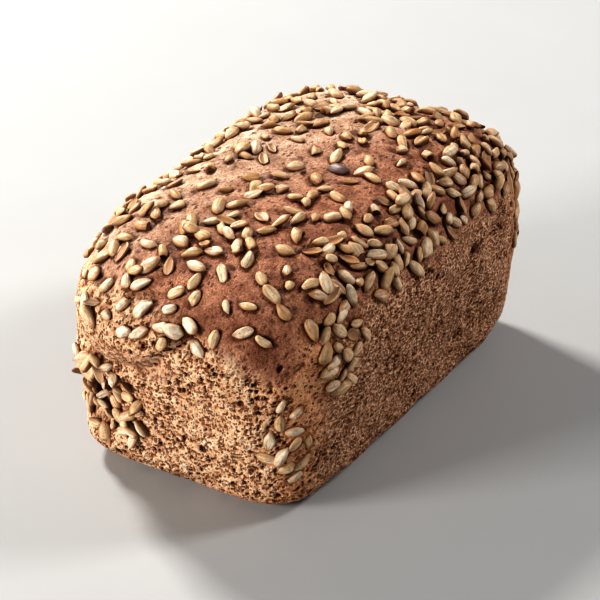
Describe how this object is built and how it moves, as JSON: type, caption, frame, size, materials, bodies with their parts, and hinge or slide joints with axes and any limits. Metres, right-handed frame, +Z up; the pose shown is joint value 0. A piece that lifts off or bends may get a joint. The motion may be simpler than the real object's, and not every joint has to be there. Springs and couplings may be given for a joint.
{
  "type": "seeded bread loaf",
  "caption": "Tin-baked wholegrain loaf with a domed brown crust, porous straight sides and sunflower kernels baked onto its top, shoulders and corners.",
  "frame": {"origin": "middle of the flat base the loaf stands on", "axes": "+Z up, +Y along the length from the lower front end to the higher rear end, +X to the right of the front end"},
  "size_m": [0.1112, 0.186, 0.0947],
  "materials": {
    "crust": "matte baked crust and open crumb",
    "kernel": "satin toasted sunflower kernel"
  },
  "bodies": {
    "root": {"loaf": "crust"}
  },
  "joints": []
}
